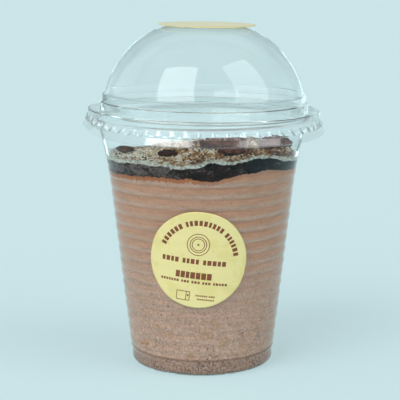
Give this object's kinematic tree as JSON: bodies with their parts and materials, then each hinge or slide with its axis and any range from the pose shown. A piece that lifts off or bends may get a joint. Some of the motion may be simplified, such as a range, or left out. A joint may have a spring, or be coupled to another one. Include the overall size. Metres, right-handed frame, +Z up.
{
  "type": "chocolate mousse in a lidded cup",
  "caption": "Layered chocolate mousse with marbled cream and brownie pieces in a ribbed clear plastic cup with a domed lid and round labels.",
  "frame": {"origin": "centre of the cup's flat base", "axes": "+Z up along the cup's axis; -Y is the side with the round label; the lid sits 0.7 mm towards +X"},
  "size_m": [0.099, 0.099, 0.1402],
  "materials": {
    "clear_plastic": "clear, glossy, thin",
    "mousse": "aerated, moist, speckled",
    "chocolate": "dense, moist",
    "cream": "marbled foam with cocoa and caramel bits",
    "brownie": "rough crumb",
    "label": "satin paper"
  },
  "bodies": {
    "root": {"cup": "clear_plastic", "dome_lid": "clear_plastic", "mousse": "mousse", "chocolate_layer": "chocolate", "cream_layer": "cream", "brownie_centre": "brownie", "brownie_front": "brownie", "brownie_chip": "brownie", "brownie_right": "brownie", "brownie_left": "brownie", "side_label": "label", "lid_sticker": "label"}
  },
  "joints": []
}
